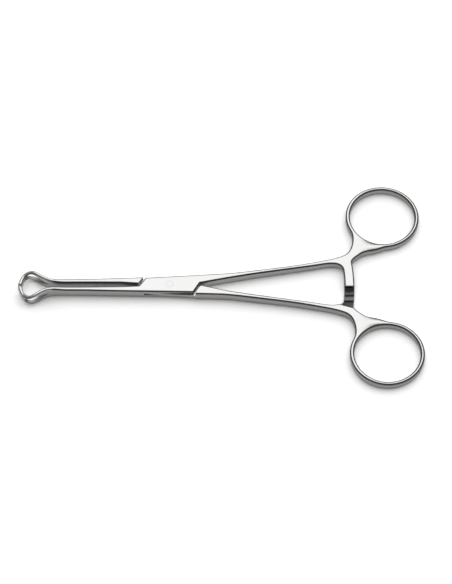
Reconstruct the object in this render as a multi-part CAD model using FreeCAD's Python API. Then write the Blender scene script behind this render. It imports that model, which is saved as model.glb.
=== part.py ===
import FreeCAD, Part
import math
import os
from FreeCAD import Vector

# Babcock tissue forceps: box lock, finger rings, ratchet and windowed jaws, closed on the first tooth.
# Frame: origin on the lower face of the box lock at the pivot, +X to the finger rings,
# +Y to the side of the box half's ring, +Z up. All sizes are in millimetres.

# Forged section
thickness = 4.0            # box lock and the shanks beside it
arm_depth = 3.4            # thickness of the ratchet arms, to which the handle shanks taper
edge_break = 0.60          # easing of the long edges
arc_tolerance = 0.02       # flowing curves are runs of arcs true to this
ring_depth = 2.9           # finger rings are thinner still
ring_taper = 9.0           # length over which the thickness comes down to theirs

# Finger rings
ring_setback = 13.9        # from the ratchet arms' middle line back to the rings' centres
ring_centre_y = 32.0
ring_hole_radius = 12.9
ring_band = 1.70
outer_flank_angle = 207.0  # degrees round the ring where the flare's outer flank leaves it
inner_flank_angle = 277.0  # degrees round the ring where the flare's inner flank leaves it

# Handle shanks: distance from the pivot, offset of the middle line, width
heel_station = (19.5, 3.50, 2.90)
upper_station = (31.5, 5.35, 1.95)
waist_station = (47.5, 7.80, 1.70)
lower_station = (11.3, 9.95, 1.95)     # this one's distance is back from the ratchet arms
arm_hollow = ((5.6, 9.45), (3.4, 8.60))    # hollow between shank and arm, back from the arms
# Hollows between shank and ring, and between ring and ratchet arm, from the ring's centre
flare_outer = ((-17.7, -19.1), (-14.2, -17.1), (-12.6, -13.6))
flare_inner = ((-3.2, -16.1), (-8.1, -17.3), (-10.7, -19.2))
arm_outer_top = 10.0       # where the arm's outer edge starts, from the middle plane
arm_inner_top = 6.2        # where its inner edge starts

# Ratchet
arm_radius = 70.8          # middle line of the arms, round the pivot
arm_width = 4.0
tooth_pitch = 2.75
tooth_depth = 0.85
crest_gap = 0.10           # between the two rows of crests
hook_y = 1.55              # where the first pair of teeth hooks at rest
hook_gap = 0.10            # between those two steep faces
box_arm_lead = 2.35        # first crest to arm end on the box half
tongue_arm_lead = 0.90     # first crest to arm end on the tongue half
last_crest_y = 7.2         # no tooth starts further out than this
ramp_top_y = 11.7          # end of the slope from the last tooth out to the full thickness
ramp_skew = 0.36           # how much that end slants across the arm
arm_overcut = 2.0          # how far the cutter runs past the arm

# Box lock
step_outer_x = 9.45        # corner of each step on the side of the box
step_inner_x = 12.0        # corner of each step between the halves
step_inner_y = 0.50
box_front_half_width = 3.25
box_back_half_width = 3.85
step_groove = 0.95         # open groove between a step and its shoulder at rest
shoulder_inset = 0.30      # inner corner of each shoulder, from the middle plane
plate_thickness = 1.40     # each cheek of the box
slot_end_x = 10.0          # end of the slot on the side of the box
slot_play = 0.03           # between tongue and cheek
slot_end_play = 0.16       # between tongue corner and slot end
tongue_back_proud = 0.75   # tongue past the cheeks at the handle shoulder
tongue_front_proud = 0.25  # tongue past the cheeks at the jaw shoulder
tongue_shy = 0.15          # tongue inside the cheeks at its other corners
pin_radius = 1.50
pin_play = 0.02

# Jaw shanks and jaws
jaw_reach = 59.6
jaw_heel = (19.0, 0.80, 3.20)      # distance from the pivot, inner edge, outer edge
jaw_waist = (19.6, 0.90, 2.75)     # the same from here on, but distances are back from the tip
jaw_turn = (11.4, 2.45)            # middle line of the jaw where it starts to bow out
jaw_flank = (7.3, 4.75)
jaw_bow = (4.4, 5.75)              # widest point of the middle line
jaw_fall = (1.9, 3.85)             # where it comes in to the tip
jaw_wall = 1.50
tip_wall = 1.55
tip_gap = 0.65                     # half of the gap between the tips at rest
jaw_half_depth = 2.75
jaw_deepest = 6.4                  # where the jaw reaches its full depth
jaw_nose = 2.6                     # where the nose has rounded over
jaw_nose_half_depth = 1.80
nose_slope = 1.2                   # how steeply the nose rises from the tip, rise to run
jaw_swell = 10.0                   # length over which shank height grows to jaw height
tip_half_depth = 0.90
tip_heading = (-0.35, 1.0)         # how the jaw runs in to its tip
leg_depth = 1.15                   # each leg beside the jaw window
window_start = 12.0
window_slope = 4.0                 # how sharply the window starts, run to rise
window_rise = (8.0, 1.30)
window_crest = 5.4
window_end = 2.7

mid = thickness / 2
slot_low = plate_thickness
slot_high = thickness - plate_thickness
ring_centre_x = arm_radius + ring_setback
reach = 150.0              # larger than the whole part, for cutting
touching = 0.01            # less than this is no length
crest_z = mid + crest_gap / 2
root_z = crest_z + tooth_depth
back_step = (step_inner_x, step_inner_y)
back_corner = (step_outer_x, -box_back_half_width)
front_step = (-step_inner_x, -step_inner_y)
front_corner = (-step_outer_x, box_front_half_width)
tongue_radius = math.hypot(slot_end_x, box_front_half_width) - slot_end_play


def unit(direction):
    return Vector(*direction, 0).normalize()


def flowing(points, start, end):
    """A smooth run of arcs through the points, with the headings given at its two ends."""
    curve = Part.BSplineCurve()
    knots = [Vector(x, y, 0) for x, y in points]
    curve.interpolate(Points=knots, InitialTangent=unit(start), FinalTangent=unit(end), Scale=False)
    return [arc.toShape() for arc in curve.toBiArcs(arc_tolerance)]


def line(a, b):
    return Part.makeLine(Vector(*a, 0), Vector(*b, 0))


def face(edges):
    return Part.Face(Part.Wire(edges))


def polygon(points):
    corners = [Vector(x, y, 0) for x, y in points]
    return Part.Face(Part.makePolygon(corners + corners[:1]))


def slab(plan, low, high):
    lifted = plan.copy()
    lifted.translate(Vector(0, 0, low))
    return lifted.extrude(Vector(0, 0, high - low))


def upright(profile, half_width):
    """A profile drawn with x along the part and y for height, spread to both sides of the middle plane."""
    turned = profile.copy()
    turned.rotate(Vector(), Vector(1, 0, 0), 90)
    turned.translate(Vector(0, half_width, 0))
    return turned.extrude(Vector(0, -2 * half_width, 0))


def ring_point(angle):
    """A point on the ring's outer edge."""
    a = math.radians(angle)
    radius = ring_hole_radius + ring_band
    return (ring_centre_x + radius * math.cos(a), ring_centre_y + radius * math.sin(a))


def ring_heading(angle):
    a = math.radians(angle)
    return (-math.sin(a), math.cos(a))


def ring_curve(radius, start=0, end=360):
    return Part.makeCircle(radius, Vector(ring_centre_x, ring_centre_y, 0), Vector(0, 0, 1), start, end)


def arm_point(radius, y):
    return (math.sqrt(radius * radius - y * y), y)


def arm_edge(radius, start_y, end_y):
    points = [Vector(*arm_point(radius, y), 0) for y in (start_y, (start_y + end_y) / 2, end_y)]
    return Part.Arc(*points).toShape()


def minus(direction):
    return (-direction[0], -direction[1])


def shank_edge(side):
    """Points along the shank's outer (side 1) or inner (side -1) edge, from the heel to the flare."""
    lower = (arm_radius - lower_station[0], *lower_station[1:])
    stations = (heel_station, upper_station, waist_station, lower)
    return [(along, offset + side * width / 2) for along, offset, width in stations]


def from_ring(points):
    return [(ring_centre_x + x, ring_centre_y + y) for x, y in points]


def handle_edges(heel_heading, crotch, arm_end):
    """Outline of shank, flare, ring and ratchet arm, from the heel's outer edge round to its inner edge."""
    arm_inner = arm_radius - arm_width / 2
    arm_outer = arm_radius + arm_width / 2
    inner_start = arm_point(arm_inner, arm_inner_top)
    outer_start = arm_point(arm_outer, arm_outer_top)
    ring_start = ring_point(outer_flank_angle)
    ring_end = ring_point(inner_flank_angle)
    outer = shank_edge(1) + from_ring(flare_outer) + [ring_start]
    hollow = [ring_end] + from_ring(flare_inner) + [outer_start]
    inner = shank_edge(-1) + [(arm_radius - back, y) for back, y in arm_hollow] + [inner_start]
    inner.reverse()
    up_arm = (-inner_start[1], inner_start[0])
    down_arm = (outer_start[1], -outer_start[0])
    into_heel = (crotch[0] - inner[-1][0], crotch[1] - inner[-1][1])
    return [
        *flowing(outer, heel_heading, minus(ring_heading(outer_flank_angle))),
        ring_curve(ring_hole_radius + ring_band, inner_flank_angle, outer_flank_angle + 360),
        *flowing(hollow, minus(ring_heading(inner_flank_angle)), down_arm),
        arm_edge(arm_outer, arm_outer_top, arm_end),
        line(arm_point(arm_outer, arm_end), arm_point(arm_inner, arm_end)),
        arm_edge(arm_inner, arm_end, arm_inner_top),
        *flowing(inner, up_arm, into_heel),
    ]


def slide(point, heading, y):
    """The point on the line through point, along heading, at height y."""
    return (point[0] + heading[0] * (y - point[1]) / heading[1], y)


def offset_point(curve, at, distance):
    point = curve.value(at)
    along = curve.tangent(at)[0]
    return (point.x + along.y * distance, point.y - along.x * distance)


def jaw_edges(box_corner):
    """Outline of jaw shank and jaw below the middle plane, from the heel's outer to its inner edge."""
    waist_middle = (jaw_waist[1] + jaw_waist[2]) / 2
    stations = [(jaw_waist[0], waist_middle), jaw_turn, jaw_flank, jaw_bow, jaw_fall, (tip_wall / 2, tip_gap)]
    walls = [jaw_waist[2] - jaw_waist[1], jaw_wall, jaw_wall, jaw_wall, jaw_wall, tip_wall]
    knots = [Vector(back - jaw_reach, -y, 0) for back, y in stations]
    curve = Part.BSplineCurve()
    curve.interpolate(Points=knots, InitialTangent=Vector(-1, 0, 0),
                      FinalTangent=unit(tip_heading), Scale=False)
    outer, inner = [], []
    for knot, wall in zip(knots, walls):
        at = curve.parameter(knot)
        outer.append(offset_point(curve, at, -wall / 2))
        inner.append(offset_point(curve, at, wall / 2))
    outer[-1] = slide(outer[-1], tip_heading, -tip_gap)
    inner[-1] = slide(inner[-1], tip_heading, -tip_gap)
    shank_heading = (-1.0, 0.0)
    heel_outer = (-jaw_heel[0], -jaw_heel[2])
    heel_inner = (-jaw_heel[0], -jaw_heel[1])
    box_heading = (heel_outer[0] - box_corner[0], heel_outer[1] - box_corner[1])
    heel_back = (jaw_reach - jaw_waist[0] - jaw_heel[0], jaw_waist[1] - jaw_heel[1])
    return [
        *flowing([heel_outer, outer[0]], box_heading, shank_heading),
        *flowing(outer, shank_heading, tip_heading),
        line(outer[-1], inner[-1]),
        *flowing(list(reversed(inner)), minus(tip_heading), minus(shank_heading)),
        *flowing([inner[0], heel_inner], minus(shank_heading), heel_back),
    ]


def box_half_plan():
    """The box half seen from above: handle above the middle plane, jaw below it."""
    heel = shank_edge(1)[0]
    box_heading = (heel[0] - front_corner[0], heel[1] - front_corner[1])
    return face(
        [line(front_corner, heel)]
        + handle_edges(box_heading, back_step, hook_y - hook_gap / 2 - box_arm_lead)
        + [line(shank_edge(-1)[0], back_step), line(back_step, back_corner),
           line(back_corner, (-jaw_heel[0], -jaw_heel[2]))]
        + jaw_edges(back_corner)
        + [line((-jaw_heel[0], -jaw_heel[1]), front_step), line(front_step, front_corner)])


def shoulder(inner, outer):
    """A step's line as the other half has it: flipped to its side and moved out by the groove."""
    along = unit((outer[0] - inner[0], inner[1] - outer[1]))
    groove = math.copysign(step_groove, inner[0] * along.y)
    return (inner[0] + along.y * groove, -inner[1] - along.x * groove), along


def tongue_half_plan():
    """The tongue half drawn the same way up as the box half: handle above the middle plane."""
    back = shoulder(back_step, back_corner)
    front = shoulder(front_step, front_corner)
    back_inner = slide(*back, shoulder_inset)
    front_inner = slide(*front, -shoulder_inset)
    back_outer = slide(*back, box_back_half_width + tongue_back_proud)
    front_outer = slide(*front, -box_front_half_width - tongue_front_proud)
    blunt_y = box_front_half_width - tongue_shy
    blunt_x = math.sqrt(tongue_radius ** 2 - blunt_y ** 2)
    side = Vector(tongue_radius, 0, 0)
    half_turn = math.asin(blunt_y / tongue_radius) / 2
    bulge = Vector(tongue_radius * math.cos(half_turn), tongue_radius * math.sin(half_turn), 0)
    heel = shank_edge(1)[0]
    heel_heading = (heel[0] - back_outer[0], heel[1] - back_outer[1])
    back_round = Part.Arc(side, Vector(bulge.x, -bulge.y, 0), Vector(blunt_x, -blunt_y, 0)).toShape()
    front_round = Part.Arc(-side, Vector(-bulge.x, bulge.y, 0), Vector(-blunt_x, blunt_y, 0)).toShape()
    return face(
        [line(back_outer, heel)]
        + handle_edges(heel_heading, back_inner, -hook_y - hook_gap / 2 - tongue_arm_lead)
        + [line(shank_edge(-1)[0], back_inner), line(back_inner, (tongue_radius, 0)), back_round,
           line((blunt_x, -blunt_y), front_outer), line(front_outer, (-jaw_heel[0], -jaw_heel[2]))]
        + jaw_edges(front_outer)
        + [line((-jaw_heel[0], -jaw_heel[1]), front_inner), line(front_inner, (-tongue_radius, 0)),
           front_round, line((-blunt_x, blunt_y), back_outer)])


def side_profile():
    """Height of the forging along its length: deep jaws, even shanks, thinner rings."""
    taper_start = arm_radius + arm_width / 2 + ring_band
    taper_end = taper_start + ring_taper
    nose_end = jaw_reach + jaw_wall
    waist_x = jaw_waist[0] - jaw_reach
    jaw_top = [(-nose_end, tip_half_depth), (jaw_nose - jaw_reach, jaw_nose_half_depth),
               (jaw_deepest - jaw_reach, jaw_half_depth),
               (waist_x - jaw_swell / 2, (mid + jaw_half_depth) / 2), (waist_x, mid)]
    upper = [
        *flowing(jaw_top, (1.0, nose_slope), (1.0, 0.0)),
        line((waist_x, mid), (heel_station[0], mid)),
        line((heel_station[0], mid), (arm_radius - lower_station[0], arm_depth / 2)),
        line((arm_radius - lower_station[0], arm_depth / 2), (taper_start, arm_depth / 2)),
        *flowing([(taper_start, arm_depth / 2), (taper_end, ring_depth / 2)], (1, 0), (1, 0)),
        line((taper_end, ring_depth / 2), (reach, ring_depth / 2)),
    ]
    lower = [edge.mirror(Vector(), Vector(0, 1, 0)) for edge in upper]
    ends = [line((reach, ring_depth / 2), (reach, -ring_depth / 2)),
            line((-nose_end, -tip_half_depth), (-nose_end, tip_half_depth))]
    profile = Part.Face(Part.Wire(Part.__sortEdges__(upper + lower + ends)))
    profile.translate(Vector(0, mid, 0))
    return profile


def jaw_window():
    """Rounded triangle between the two legs of a jaw, sharp towards the shank."""
    stations = [(window_start, 0), window_rise, (window_crest, jaw_half_depth - leg_depth), (window_end, 0)]
    rim = [(back - jaw_reach, z) for back, z in stations]
    upper = flowing(rim, (-window_slope, 1), (0, -1))
    lower = [edge.mirror(Vector(), Vector(0, 1, 0)) for edge in upper]
    profile = Part.Face(Part.Wire(Part.__sortEdges__(upper + lower)))
    profile.translate(Vector(0, mid, 0))
    return upright(profile, reach)


def ratchet_relief(first_crest, arm_end):
    """What is cut from the under side of a ratchet arm to leave its saw teeth and the slope behind them."""
    start = arm_end - arm_overcut
    lead = (first_crest - start) / tooth_pitch
    row = [(start, -arm_overcut), (start, crest_z + tooth_depth * lead)]
    crest = first_crest
    while crest < last_crest_y:
        row += [(crest, crest_z), (crest, root_z)]
        crest += tooth_pitch
    sides = []
    for across in (-arm_width / 2 - arm_overcut, arm_width / 2 + arm_overcut):
        top = ramp_top_y + ramp_skew * across
        corners = [Vector(arm_radius + across, y, z) for y, z in row + [(top, 0.0), (top, -arm_overcut)]]
        sides.append(Part.makePolygon(corners + corners[:1]))
    return Part.makeLoft(sides, True, True)


def is_eased_edge(edge):
    """True for the edges that are eased by grinding: not the tips, arm ends or upright corners."""
    bounds = edge.BoundBox
    end_face = bounds.YLength < touching
    across = bounds.XLength < touching and bounds.ZLength < touching
    return not (end_face or across)


def forged_blank(plan):
    """Outline and side profile brought together, ring pierced, long edges eased."""
    blank = slab(plan, -reach, reach).common(upright(side_profile(), reach))
    blank = blank.cut(slab(face([ring_curve(ring_hole_radius)]), -reach, reach))
    edges = [edge for edge in blank.Edges if is_eased_edge(edge)]
    return blank.makeChamfer(edge_break, edges)


def pin_hole():
    return Part.makeCylinder(pin_radius + pin_play, 2 * thickness, Vector(0, 0, -mid))


def box_half():
    first_crest = hook_y - hook_gap / 2
    solid = forged_blank(box_half_plan())
    outside = 2 * box_back_half_width
    slot = polygon([(-slot_end_x, -outside), (-slot_end_x, -box_front_half_width), front_step,
                    (-step_inner_x, outside), (slot_end_x, outside), (slot_end_x, box_front_half_width),
                    back_step, (step_inner_x, -outside)])
    solid = solid.cut(slab(slot, slot_low, slot_high))
    relief = ratchet_relief(first_crest, first_crest - box_arm_lead)
    return solid.cut(pin_hole()).cut(jaw_window()).cut(relief)


def tongue_half():
    first_crest = -hook_y - hook_gap / 2
    solid = forged_blank(tongue_half_plan())
    back = shoulder(back_step, back_corner)
    front = shoulder(front_step, front_corner)
    outside = 2 * box_back_half_width
    cheeks = polygon([slide(*back, -outside), slide(*back, outside),
                      slide(*front, outside), slide(*front, -outside)])
    solid = solid.cut(slab(cheeks, slot_high - slot_play, reach))
    solid = solid.cut(slab(cheeks, -reach, slot_low + slot_play))
    relief = ratchet_relief(first_crest, first_crest - tongue_arm_lead)
    solid = solid.cut(pin_hole()).cut(jaw_window()).cut(relief)
    solid.rotate(Vector(0, 0, mid), Vector(1, 0, 0), 180)
    return solid


def joint_pin():
    return Part.makeCylinder(pin_radius, thickness)


def main():
    os.makedirs("parts", exist_ok=True)
    for name, build in (("box_half", box_half), ("tongue_half", tongue_half), ("joint_pin", joint_pin)):
        shape = build()
        solid = shape.Solids[0]
        print(name, "valid", shape.isValid(), "solids", len(shape.Solids), "volume", round(shape.Volume, 1))
        solid.exportStep("parts/" + name + ".step")


main()
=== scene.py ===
import math
import bmesh
import bpy
from mathutils import Matrix, Vector


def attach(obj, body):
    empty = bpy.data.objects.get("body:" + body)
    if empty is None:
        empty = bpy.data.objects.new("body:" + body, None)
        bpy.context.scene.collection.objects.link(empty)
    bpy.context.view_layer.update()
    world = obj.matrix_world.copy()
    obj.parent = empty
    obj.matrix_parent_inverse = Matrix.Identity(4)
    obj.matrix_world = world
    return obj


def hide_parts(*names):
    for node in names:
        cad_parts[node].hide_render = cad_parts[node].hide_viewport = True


mm = 0.001
noArea = 1e-12      # square metres, so that an empty face divides by something
noLength = 1e-9

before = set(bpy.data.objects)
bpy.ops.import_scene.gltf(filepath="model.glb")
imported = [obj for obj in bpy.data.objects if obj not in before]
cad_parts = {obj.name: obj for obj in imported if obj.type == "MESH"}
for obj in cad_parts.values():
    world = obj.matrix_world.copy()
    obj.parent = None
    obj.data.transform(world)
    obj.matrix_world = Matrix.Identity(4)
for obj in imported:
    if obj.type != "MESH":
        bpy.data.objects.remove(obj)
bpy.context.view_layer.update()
print("frame loaded:", sorted(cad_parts))


def linkInput(tree, node, socket, source):
    tree.links.new(source, node.inputs[socket])


def newNode(tree, kind, **settings):
    node = tree.nodes.new(kind)
    for name, value in settings.items():
        setattr(node, name, value)
    return node


def mathNode(tree, operation, *values):
    node = newNode(tree, "ShaderNodeMath", operation=operation)
    for i, value in enumerate(values):
        if isinstance(value, float):
            node.inputs[i].default_value = value
        else:
            linkInput(tree, node, i, value)
    return node.outputs["Value"]


# Steel finishes, with painted shade on the rounded edges and in the windows and teeth, all in Object
# coordinates

forgedSteel = {
    "colour": (0.388, 0.38, 0.369, 1.0),
    "edgeTint": (0.8, 0.8, 0.8, 1.0),
    "roughness": 0.20,
    "roughnessSpread": 0.05,
    "grainAcross": 2600.0,      # grinding lines to a metre across the grain, about
    "grainAlong": 60.0,         # and along it
    "grainDetail": 2.0,
    "grainDepth": 0.06,         # share of the height that the light sees
    "grainHeight": 0.02 * mm,
}

paintedEdgeShadeSteel = {
    **forgedSteel,
    "colour": (0.142, 0.137, 0.132, 1.0),   # painted shade: colour and edge tint darkened along the rounded edges, where they show dark reflections
    "edgeTint": (0.35, 0.35, 0.35, 1.0),
}

milledSteelWithPaintedShade = {
    **forgedSteel,
    "colour": (0.19, 0.186, 0.18, 1.0),     # painted shade in the jaw windows and on the ratchet teeth; the higher roughness and grain are the cutter's duller finish
    "edgeTint": (0.5, 0.5, 0.5, 1.0),
    "roughness": 0.42,
    "grainDepth": 0.12,
}

pinSteel = {
    **forgedSteel,
    "colour": (0.384, 0.376, 0.365, 1.0),   # bar stock, a shade off the forgings
}


def makeSteel(name, look):
    material = bpy.data.materials.new(name)
    material.use_nodes = True
    tree = material.node_tree
    shader = tree.nodes["Principled BSDF"]
    shader.inputs["Base Color"].default_value = look["colour"]
    shader.inputs["Metallic"].default_value = 1.0
    shader.inputs["Specular Tint"].default_value = look["edgeTint"]
    place = newNode(tree, "ShaderNodeTexCoord")
    stretch = newNode(tree, "ShaderNodeMapping")
    stretch.inputs["Scale"].default_value = (look["grainAlong"], look["grainAcross"], look["grainAcross"])
    linkInput(tree, stretch, "Vector", place.outputs["Object"])
    grain = newNode(tree, "ShaderNodeTexNoise")
    grain.inputs["Scale"].default_value = 1.0
    grain.inputs["Detail"].default_value = look["grainDetail"]
    linkInput(tree, grain, "Vector", stretch.outputs["Vector"])
    bump = newNode(tree, "ShaderNodeBump")
    bump.inputs["Strength"].default_value = look["grainDepth"]
    bump.inputs["Distance"].default_value = look["grainHeight"]
    linkInput(tree, bump, "Height", grain.outputs["Fac"])
    linkInput(tree, shader, "Normal", bump.outputs["Normal"])
    ranged = newNode(tree, "ShaderNodeMapRange")
    ranged.inputs["To Min"].default_value = look["roughness"] - look["roughnessSpread"]
    ranged.inputs["To Max"].default_value = look["roughness"] + look["roughnessSpread"]
    linkInput(tree, ranged, "Value", grain.outputs["Fac"])
    linkInput(tree, shader, "Roughness", ranged.outputs["Result"])
    return material


# Forgings: each solid's own mesh, its eased edges rolled to true rounds and its shading smoothed; painted
# shade goes on its rounded edges and cut recesses

windowSpan = (-57.4 * mm, -45.5 * mm)       # where the jaw windows lie along the part
windowHeights = (0.0, 4.0 * mm)

forging = {
    "mergeWithin": 0.001 * mm,
    "sameFaceAngle": 22.0,      # facets that meet at less than this belong to one face of the solid
    "easedWidth": 0.92 * mm,    # a face no wider than this that slopes like this is an eased edge
    "easedSlope": (0.40, 0.92),
    "leastLean": 0.3,           # how far its neighbours must face its own way
    "roundSteps": 4,            # facets across each rounded edge
    "roundHandle": 0.39,        # handle of a quarter round, as a share of its chord
    # the lean of the tops' borders at places along the part, as a share of the way to the eased edge
    "crown": ((-45.0 * mm, 0.1), (-30.0 * mm, 0.15), (-21.0 * mm, 0.0), (21.0 * mm, 0.0), (29.0 * mm, 0.3),
              (52.0 * mm, 0.3), (60.0 * mm, 0.1), (73.0 * mm, 0.1), (80.0 * mm, 0.45)),
    "topSlope": 0.9,            # faces flatter than this are tops and undersides
    "windowRim": 0.34 * mm,     # rounding of the windows' rims
    "windowSteps": 5,
    "rimAngle": 50.0,           # edges sharper than this there are the rims
    # where painted shade and the cutter's duller finish go: span along the part, half width, heights, and
    # the faces' |normal.z|
    "milledAndShadedZones": (
        (windowSpan, 8.0 * mm, windowHeights, (0.35, 1.01)),
        ((68.6 * mm, 73.0 * mm), 12.0 * mm, (0.2 * mm, 3.8 * mm), (0.3, 0.985)),
    ),
    "edgeShadeFrom": -46.0 * mm,   # the jaws ahead of this get no painted edge shade
    # the rolled and milled slots carry painted shade
    "finishAndShadeSlots": ("ground", "rolled", "milled"),
}


def tidyMesh(work, within):
    bmesh.ops.remove_doubles(work, verts=work.verts, dist=within)
    bmesh.ops.dissolve_degenerate(work, edges=work.edges, dist=within)
    bmesh.ops.triangulate(work, faces=work.faces)
    work.normal_update()
    for group in (work.verts, work.edges, work.faces):
        group.index_update()
        group.ensure_lookup_table()


def mergedCopy(node, within):
    work = bmesh.new()
    work.from_mesh(node.data)
    tidyMesh(work, within)
    return work


def edgeAngle(edge):
    return math.degrees(edge.link_faces[0].normal.angle(edge.link_faces[1].normal, 0.0))


def roundWindows(work, spec):
    # rolls over the rims of the jaw windows
    start, end = windowSpan
    low, high = windowHeights
    rims = [edge for edge in work.edges
            if len(edge.link_faces) == 2 and edgeAngle(edge) > spec["rimAngle"]
            and all(start < v.co.x < end and low < v.co.z < high for v in edge.verts)]
    bmesh.ops.bevel(work, geom=rims, offset=spec["windowRim"], offset_type="OFFSET", affect="EDGES",
                    segments=spec["windowSteps"], profile=0.5, clamp_overlap=True)
    tidyMesh(work, spec["mergeWithin"])
    return len(rims)


def solidFaces(work, sameFaceAngle):
    # numbers the faces of the solid that the facets came from
    number = {}
    count = 0
    for seed in work.faces:
        if seed.index in number:
            continue
        number[seed.index] = count
        waiting = [seed]
        while waiting:
            facet = waiting.pop()
            for edge in facet.edges:
                if len(edge.link_faces) != 2 or edgeAngle(edge) > sameFaceAngle:
                    continue
                for other in edge.link_faces:
                    if other.index not in number:
                        number[other.index] = count
                        waiting.append(other)
        count += 1
    return number, count


def easedFaces(work, number, count, spec):
    # the narrow faces that slope between a level face and an upright one
    area, border, level = [noArea] * count, [noLength] * count, [0.0] * count
    for facet in work.faces:
        share = facet.calc_area()
        area[number[facet.index]] += share
        level[number[facet.index]] += share * abs(facet.normal.z)
    for edge in work.edges:
        owners = {number[f.index] for f in edge.link_faces}
        if len(owners) == 2:
            for owner in owners:
                border[owner] += edge.calc_length()
    low, high = spec["easedSlope"]
    return {i for i in range(count)
            if 2 * area[i] / border[i] < spec["easedWidth"] and low < level[i] / area[i] < high}


def cornerNormals(work, number):
    # one normal for each vertex and face of the solid
    normals = {}
    for facet in work.faces:
        for loop in facet.loops:
            key = (loop.vert.index, number[facet.index])
            normals[key] = normals.get(key, Vector()) + facet.normal * loop.calc_angle() * facet.calc_area()
    for key in normals:
        normals[key].normalize()
    return normals


def carriers(work, number, eased, normals, leastLean):
    # the broad face that each corner of an eased edge lies on
    carrier = {}
    for vert in work.verts:
        owners = {number[f.index] for f in vert.link_faces}
        for strip in owners & eased:
            mine = normals[(vert.index, strip)]
            lean = {face: mine.dot(normals[(vert.index, face)]) for face in owners - eased}
            if lean and max(lean.values()) > leastLean:
                carrier[(vert.index, strip)] = max(lean, key=lean.get)
    return carrier


def crownShare(place, spec):
    # how far the top of the part leans over towards its borders, by where it is along the part
    stations = spec["crown"]
    for (x0, share0), (x1, share1) in zip(stations, stations[1:]):
        if place.x < x1:
            return share0 + (share1 - share0) * max(place.x - x0, 0.0) / (x1 - x0)
    return stations[-1][1]


def crownedNormals(work, normals, carrier, spec):
    crowned = dict(normals)
    for (vert, strip), face in carrier.items():
        if abs(normals[(vert, face)].z) > spec["topSlope"]:
            share = crownShare(work.verts[vert].co, spec)
            crowned[(vert, face)] = normals[(vert, face)].slerp(normals[(vert, strip)], share)
    return crowned


def roundPoints(a, b, normalA, normalB, steps, handle):
    chord = b - a
    outA = (chord - normalA * chord.dot(normalA)).normalized() * chord.length * handle
    outB = (chord - normalB * chord.dot(normalB)).normalized() * chord.length * handle
    points = []
    for i in range(1, steps):
        t = i / steps
        u = 1 - t
        points.append(a * u ** 3 + (a + outA) * 3 * u * u * t + (b - outB) * 3 * u * t * t + b * t ** 3)
    return points


def isMilledAndShaded(facet, spec):
    # whether a facet gets painted shade and the cutter's duller finish: a sill or a head of a jaw window,
    # or a tooth of the ratchet
    middle = facet.calc_center_median()
    slope = abs(facet.normal.z)
    for along, across, up, slopes in spec["milledAndShadedZones"]:
        if (along[0] < middle.x < along[1] and abs(middle.y) < across and up[0] < middle.z < up[1]
                and slopes[0] < slope < slopes[1]):
            return True
    return False


# rolled and milled facets get painted shade
def finishAndShadeOf(facet, isEased, spec):
    if isMilledAndShaded(facet, spec):
        return "milled"
    # the eased edges behind the jaws get the painted edge shade
    if isEased and facet.calc_center_median().x > spec["edgeShadeFrom"]:
        return "rolled"
    return "ground"


def meanNormal(source, vert, faces):
    return sum((source[(vert, face)] for face in faces), Vector()).normalized()


def rollEdges(work, number, eased, carrier, normals, crowned, spec):
    # adds points on the mesh edges that cross an eased edge, so that it rolls over
    places = [v.co.copy() for v in work.verts]
    rolled = {}         # normals of the added points
    between = {}        # which of them lie on a mesh edge, from its lower vertex up
    for edge in work.edges:
        strips = eased & {number[f.index] for f in edge.link_faces}
        a, b = sorted(v.index for v in edge.verts)
        ends = [(carrier.get((a, strip)), carrier.get((b, strip))) for strip in strips]
        if not ends or any(None in pair or pair[0] == pair[1] for pair in ends):
            continue
        facesA, facesB = zip(*ends)
        points = roundPoints(places[a], places[b], meanNormal(normals, a, facesA),
                             meanNormal(normals, b, facesB), spec["roundSteps"], spec["roundHandle"])
        shadeA, shadeB = meanNormal(crowned, a, facesA), meanNormal(crowned, b, facesB)
        between[(a, b)] = []
        for i, place in enumerate(points):
            between[(a, b)].append(len(places))
            rolled[len(places)] = shadeA.slerp(shadeB, (i + 1) / spec["roundSteps"])
            places.append(place)
    return places, rolled, between


def cutFacet(corners, isEased, between):
    # the facet's outline with the added points, cut into strips where it crosses an eased edge
    def along(a, b):
        return between.get((a, b)) or list(reversed(between.get((b, a), [])))

    ring, crossing = [], []
    for a, b in zip(corners, corners[1:] + corners[:1]):
        added = along(a, b)
        ring += [a] + added
        if added:
            crossing.append((a, b))
    if not isEased or len(crossing) != 2:
        return [ring]
    tip = (set(crossing[0]) & set(crossing[1])).pop()
    start = corners.index(tip)
    left, right = corners[start - 2], corners[start - 1]
    down = [tip] + along(tip, left) + [left]
    back = [tip] + along(tip, right) + [right]
    strips = [[down[i], down[i + 1], back[i + 1], back[i]] for i in range(1, len(down) - 1)]
    return [[tip, down[1], back[1]]] + strips


def roundedMesh(name, work, spec):
    number, count = solidFaces(work, spec["sameFaceAngle"])
    eased = easedFaces(work, number, count, spec)
    normals = cornerNormals(work, number)
    carrier = carriers(work, number, eased, normals, spec["leastLean"])
    crowned = crownedNormals(work, normals, carrier, spec)
    places, rolled, between = rollEdges(work, number, eased, carrier, normals, crowned, spec)

    polygons, polygonNormals, finishAndShadeSlots = [], [], []
    for facet in work.faces:
        owner = number[facet.index]
        isEased = owner in eased
        finish = spec["finishAndShadeSlots"].index(finishAndShadeOf(facet, isEased, spec))
        for piece in cutFacet([loop.vert.index for loop in facet.loops], isEased, between):
            polygons.append(piece)
            finishAndShadeSlots.append(finish)
            for corner in piece:
                if not isEased:
                    normal = crowned.get((corner, owner), facet.normal)
                elif corner in rolled:
                    normal = rolled[corner]
                else:
                    normal = crowned[(corner, carrier.get((corner, owner), owner))]
                polygonNormals.append(normal)
    mesh = bpy.data.meshes.new(name)
    mesh.from_pydata(places, [], polygons)
    mesh.polygons.foreach_set("use_smooth", [True] * len(mesh.polygons))
    mesh.polygons.foreach_set("material_index", finishAndShadeSlots)
    mesh.normals_split_custom_set(polygonNormals)
    return mesh, len(eased)


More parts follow.
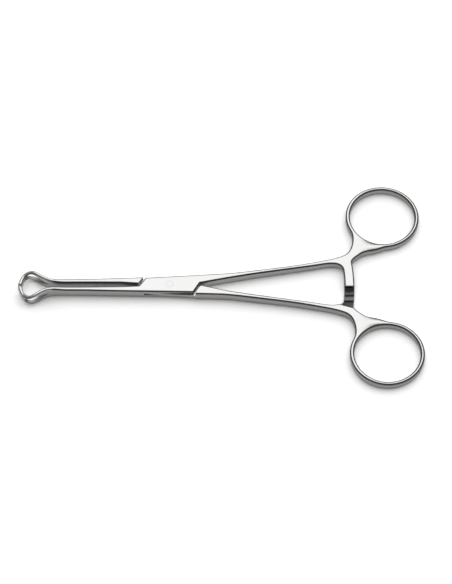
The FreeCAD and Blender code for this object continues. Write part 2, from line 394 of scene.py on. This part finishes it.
def makeForging(nodeName, body, materials, spec):
    work = mergedCopy(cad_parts[nodeName], spec["mergeWithin"])
    rimCount = roundWindows(work, spec)
    mesh, easedCount = roundedMesh(nodeName + "_rounded", work, spec)
    work.free()
    for finish in spec["finishAndShadeSlots"]:
        mesh.materials.append(materials[finish])
    piece = bpy.data.objects.new(nodeName + "_forging", mesh)
    bpy.context.scene.collection.objects.link(piece)
    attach(piece, body)
    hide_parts(nodeName)
    print(nodeName, "made:", easedCount, "rounded edges,", rimCount, "rim edges,",
          len(mesh.polygons), "facets")
    return piece


# steel for the plain faces, and painted shade for the rounded edges and for the windows and teeth
steel = {
    "ground": makeSteel("forgedSteel", forgedSteel),
    "rolled": makeSteel("paintedEdgeShadeSteel", paintedEdgeShadeSteel),
    "milled": makeSteel("milledSteelWithPaintedShade", milledSteelWithPaintedShade),
}
makeForging("box_half", "box_side", steel, forging)
makeForging("tongue_half", "tongue_side", steel, forging)
print("forgings made")

# Joint pin: a round bar, headed over and ground flush, with a fine rim that still shows

jointPin = {
    "sides": 64,
    "rim": 0.03 * mm,           # width and depth of the rim round each head
    "flatness": 0.5,            # faces that look up or down more than this are the heads
}


def pinTree(material, spec):
    tree = bpy.data.node_groups.new("pinShape", "GeometryNodeTree")
    for name in ("Radius", "Length", "Rim"):
        tree.interface.new_socket(name, in_out="INPUT", socket_type="NodeSocketFloat")
    tree.interface.new_socket("Geometry", in_out="OUTPUT", socket_type="NodeSocketGeometry")
    given = newNode(tree, "NodeGroupInput").outputs
    shank = newNode(tree, "GeometryNodeMeshCylinder", fill_type="NGON")
    shank.inputs["Vertices"].default_value = spec["sides"]
    bothRims = mathNode(tree, "MULTIPLY", given["Rim"], 2.0)
    linkInput(tree, shank, "Radius", given["Radius"])
    linkInput(tree, shank, "Depth", mathNode(tree, "SUBTRACT", given["Length"], bothRims))
    facing = newNode(tree, "GeometryNodeInputNormal")
    parts = newNode(tree, "ShaderNodeSeparateXYZ")
    linkInput(tree, parts, "Vector", facing.outputs["Normal"])
    level = mathNode(tree, "ABSOLUTE", parts.outputs["Z"])
    heads = newNode(tree, "GeometryNodeExtrudeMesh")
    linkInput(tree, heads, "Mesh", shank.outputs["Mesh"])
    linkInput(tree, heads, "Selection", mathNode(tree, "GREATER_THAN", level, spec["flatness"]))
    linkInput(tree, heads, "Offset Scale", given["Rim"])
    headRadius = mathNode(tree, "SUBTRACT", given["Radius"], given["Rim"])
    narrowed = newNode(tree, "GeometryNodeScaleElements", domain="FACE")
    linkInput(tree, narrowed, "Geometry", heads.outputs["Mesh"])
    linkInput(tree, narrowed, "Selection", heads.outputs["Top"])
    linkInput(tree, narrowed, "Scale", mathNode(tree, "DIVIDE", headRadius, given["Radius"]))
    realised = newNode(tree, "GeometryNodeRealizeInstances")
    linkInput(tree, realised, "Geometry", narrowed.outputs["Geometry"])
    coated = newNode(tree, "GeometryNodeSetMaterial")
    coated.inputs["Material"].default_value = material
    linkInput(tree, coated, "Geometry", realised.outputs["Geometry"])
    out = newNode(tree, "NodeGroupOutput")
    linkInput(tree, out, "Geometry", coated.outputs["Geometry"])
    return tree


def makePin(nodeName, body, material, spec):
    # takes its radius, length and height from the solid
    corners = [v.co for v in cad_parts[nodeName].data.vertices]
    radius = max(math.hypot(c.x, c.y) for c in corners)
    bottom, top = min(c.z for c in corners), max(c.z for c in corners)
    tree = pinTree(material, spec)
    blank = bpy.data.objects.new("pinBlank", bpy.data.meshes.new("pinBlank"))
    bpy.context.scene.collection.objects.link(blank)
    shape = blank.modifiers.new("pinShape", "NODES")
    shape.node_group = tree
    sizes = {"Radius": radius, "Length": top - bottom, "Rim": spec["rim"]}
    for socket in tree.interface.items_tree:
        if socket.in_out == "INPUT":
            shape[socket.identifier] = sizes[socket.name]
    bpy.context.view_layer.update()
    shaped = blank.evaluated_get(bpy.context.evaluated_depsgraph_get())
    mesh = bpy.data.meshes.new_from_object(shaped)
    mesh.name = nodeName + "_headed"
    mesh.transform(Matrix.Translation((0.0, 0.0, (bottom + top) / 2)))
    blank.modifiers.remove(shape)
    bpy.data.objects.remove(blank)
    piece = bpy.data.objects.new(nodeName + "_rivet", mesh)
    bpy.context.scene.collection.objects.link(piece)
    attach(piece, body)
    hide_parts(nodeName)
    print(nodeName, "made:", len(mesh.polygons), "facets")
    return piece


makePin("joint_pin", "box_side", makeSteel("pinSteel", pinSteel), jointPin)
print("pin made")

# Floor, light and camera

studio = {
    "floorSize": 4.0,
    "floorColour": (0.88, 0.88, 0.88, 1.0),
    "floorLift": 0.12,          # glow that brings the lit floor up to white for the camera
    "restPoint": (-53.2 * mm, -0.75 * mm),      # where the jaws touch the table: along the part, and up
    "restSlope": 0.0082,        # rise of the table from there to the rings
    "tentTurn": 5.0,            # degrees to the right of straight behind
    "tentLift": 57.0,           # degrees above the floor
    "tentSeen": 2.42,           # strength of the tent as steel sees it
    "tentColour": (0.985, 1.0, 1.025, 1.0),
    "tentSeenSpread": (12.0, 40.0),     # full within the first number of degrees, gone beyond the second
    "roomSeen": 0.2,            # strength of the room round it
    "skyTurn": 8.0,             # from here on the same for the light that falls on the floor
    "skyLift": 46.0,
    "skyLight": 2.2,
    "skyColour": (1.0, 1.0, 1.0, 1.0),
    "skySpread": (30.0, 80.0),
    "roomLight": 0.05,
}


def makeFloor(spec):
    half = spec["floorSize"] / 2
    x0, z0 = spec["restPoint"]
    corners = []
    for x, y in ((-half, -half), (half, -half), (half, half), (-half, half)):
        corners.append((x, y, z0 + (x - x0) * spec["restSlope"]))
    mesh = bpy.data.meshes.new("floor")
    mesh.from_pydata(corners, [], [(0, 1, 2, 3)])
    floor = bpy.data.objects.new("floor", mesh)
    bpy.context.scene.collection.objects.link(floor)
    material = bpy.data.materials.new("paperFloor")
    material.use_nodes = True
    tree = material.node_tree
    tree.nodes.clear()
    out = newNode(tree, "ShaderNodeOutputMaterial")
    paper = newNode(tree, "ShaderNodeBsdfDiffuse")
    paper.inputs["Color"].default_value = spec["floorColour"]
    glow = newNode(tree, "ShaderNodeEmission")
    glow.inputs["Strength"].default_value = spec["floorLift"]
    both = newNode(tree, "ShaderNodeAddShader")
    linkInput(tree, both, 0, paper.outputs["BSDF"])
    linkInput(tree, both, 1, glow.outputs["Emission"])
    rays = newNode(tree, "ShaderNodeLightPath")
    choose = newNode(tree, "ShaderNodeMixShader")
    seen = mathNode(tree, "MAXIMUM", rays.outputs["Is Camera Ray"], rays.outputs["Is Glossy Ray"])
    linkInput(tree, choose, "Fac", seen)
    linkInput(tree, choose, 1, paper.outputs["BSDF"])
    linkInput(tree, choose, 2, both.outputs["Shader"])
    linkInput(tree, out, "Surface", choose.outputs["Shader"])
    mesh.materials.append(material)


def tentGlow(tree, place, turn, lift, strength, spread, room, colour):
    # full strength within the spread's first angle of the tent's middle, the room's beyond its second
    core, end = spread
    turn, lift = math.radians(turn), math.radians(lift)
    facing = newNode(tree, "ShaderNodeVectorMath", operation="DOT_PRODUCT")
    facing.inputs[1].default_value = (math.sin(turn) * math.cos(lift),
                                      math.cos(turn) * math.cos(lift), math.sin(lift))
    linkInput(tree, facing, 0, place.outputs["Generated"])
    glow = newNode(tree, "ShaderNodeMapRange", interpolation_type="SMOOTHSTEP")
    glow.inputs["From Min"].default_value = math.cos(math.radians(end))
    glow.inputs["From Max"].default_value = math.cos(math.radians(core))
    glow.inputs["To Min"].default_value = room
    glow.inputs["To Max"].default_value = strength
    linkInput(tree, glow, "Value", facing.outputs["Value"])
    background = newNode(tree, "ShaderNodeBackground")
    background.inputs["Color"].default_value = colour
    linkInput(tree, background, "Strength", glow.outputs["Result"])
    return background


def makeWorld(spec):
    # a white tent over the back of the table; steel sees its bright middle, and the camera sees white
    world = bpy.data.worlds.new("studio")
    bpy.context.scene.world = world
    world.use_nodes = True
    tree = world.node_tree
    tree.nodes.clear()
    out = newNode(tree, "ShaderNodeOutputWorld")
    place = newNode(tree, "ShaderNodeTexCoord")
    lit = tentGlow(tree, place, spec["skyTurn"], spec["skyLift"], spec["skyLight"], spec["skySpread"],
                   spec["roomLight"], spec["skyColour"])
    seen = tentGlow(tree, place, spec["tentTurn"], spec["tentLift"], spec["tentSeen"],
                    spec["tentSeenSpread"], spec["roomSeen"], spec["tentColour"])
    backdrop = newNode(tree, "ShaderNodeBackground")
    backdrop.inputs["Color"].default_value = (1.0, 1.0, 1.0, 1.0)
    rays = newNode(tree, "ShaderNodeLightPath")
    steelSees = newNode(tree, "ShaderNodeMixShader")
    linkInput(tree, steelSees, "Fac", rays.outputs["Is Glossy Ray"])
    linkInput(tree, steelSees, 1, lit.outputs["Background"])
    linkInput(tree, steelSees, 2, seen.outputs["Background"])
    cameraSees = newNode(tree, "ShaderNodeMixShader")
    linkInput(tree, cameraSees, "Fac", rays.outputs["Is Camera Ray"])
    linkInput(tree, cameraSees, 1, steelSees.outputs["Shader"])
    linkInput(tree, cameraSees, 2, backdrop.outputs["Background"])
    linkInput(tree, out, "Surface", cameraSees.outputs["Shader"])


cameraPlace = {
    "lookAt": (22.2 * mm, -3.85 * mm, 4.0 * mm),    # seen at the middle of the picture
    "distance": 1236.8 * mm,
    "elevation": 57.0,          # degrees above the table
    "swing": 0.3,               # degrees to the left of straight on
    "lens": 194.2,              # the lens and the sensor are in millimetres, as on a real camera
    "sensor": 36.0,
}


def placeCamera(place):
    swing, lift = math.radians(place["swing"]), math.radians(place["elevation"])
    back = Vector((-math.sin(swing) * math.cos(lift), -math.cos(swing) * math.cos(lift), math.sin(lift)))
    data = bpy.data.cameras.new("camera")
    data.lens = place["lens"]
    data.sensor_width = place["sensor"]
    camera = bpy.data.objects.new("camera", data)
    bpy.context.scene.collection.objects.link(camera)
    camera.location = Vector(place["lookAt"]) + back * place["distance"]
    camera.rotation_euler = back.to_track_quat("Z", "Y").to_euler()
    bpy.context.scene.camera = camera


makeFloor(studio)
makeWorld(studio)
placeCamera(cameraPlace)
bpy.context.scene.view_settings.view_transform = "Standard"
print("studio made")
